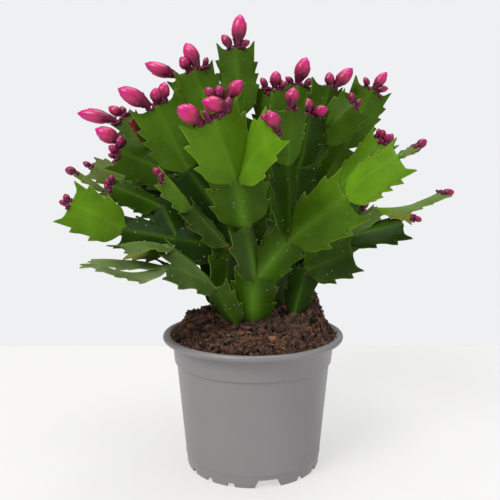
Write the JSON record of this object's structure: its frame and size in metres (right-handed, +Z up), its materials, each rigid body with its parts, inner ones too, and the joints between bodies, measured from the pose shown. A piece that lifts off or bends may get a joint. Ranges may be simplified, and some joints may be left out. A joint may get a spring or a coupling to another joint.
{
  "type": "potted christmas cactus",
  "caption": "Bushy Christmas cactus in bud: arching chains of flat, toothed stem segments with magenta buds at their tips, rooted in peat in a tapered round nursery pot.",
  "frame": {"origin": "centre of the flat underside of the pot's hub, on the pot's axis, where the pot rests", "axes": "+Z up along the pot's axis, -Y towards the front of the plant, +X to the right seen from the front"},
  "size_m": [0.2689, 0.2107, 0.3018],
  "materials": {
    "pot": "warm grey moulded plastic with a soft sheen",
    "peat": "damp fibrous brown peat with small wood chips",
    "stem": "smooth waxy green segments with a soft sheen",
    "bud": "smooth satin petals, crimson at the base and magenta at the tip"
  },
  "bodies": {
    "root": {"buds_back_e": "bud", "buds_back_left_c": "bud", "buds_back_left_d": "bud", "buds_back_left_g": "bud", "buds_back_right_c": "bud", "buds_back_right_f": "bud", "buds_crown_d": "bud", "buds_crown_f": "bud", "buds_crown_j": "bud", "buds_crown_k": "bud", "buds_crown_m": "bud", "buds_crown_n": "bud", "buds_crown_p": "bud", "buds_crown_r": "bud", "buds_far_right_d": "bud", "buds_far_right_f": "bud", "buds_far_right_g": "bud", "buds_far_right_j": "bud", "buds_far_right_l": "bud", "buds_front_d": "bud", "buds_front_e": "bud", "buds_front_h": "bud", "buds_front_k": "bud", "buds_middle_d": "bud", "buds_middle_f": "bud", "buds_middle_g": "bud", "buds_right_f": "bud", "buds_right_g": "bud", "buds_side_c": "bud", "buds_side_f": "bud", "buds_side_g": "bud", "buds_side_j": "bud", "peat": "peat", "pot": "pot", "stem_back": "stem", "stem_back_left": "stem", "stem_back_right": "stem", "stem_crown": "stem", "stem_far_right": "stem", "stem_front": "stem", "stem_left": "stem", "stem_middle": "stem", "stem_right": "stem", "stem_side": "stem"}
  },
  "joints": []
}
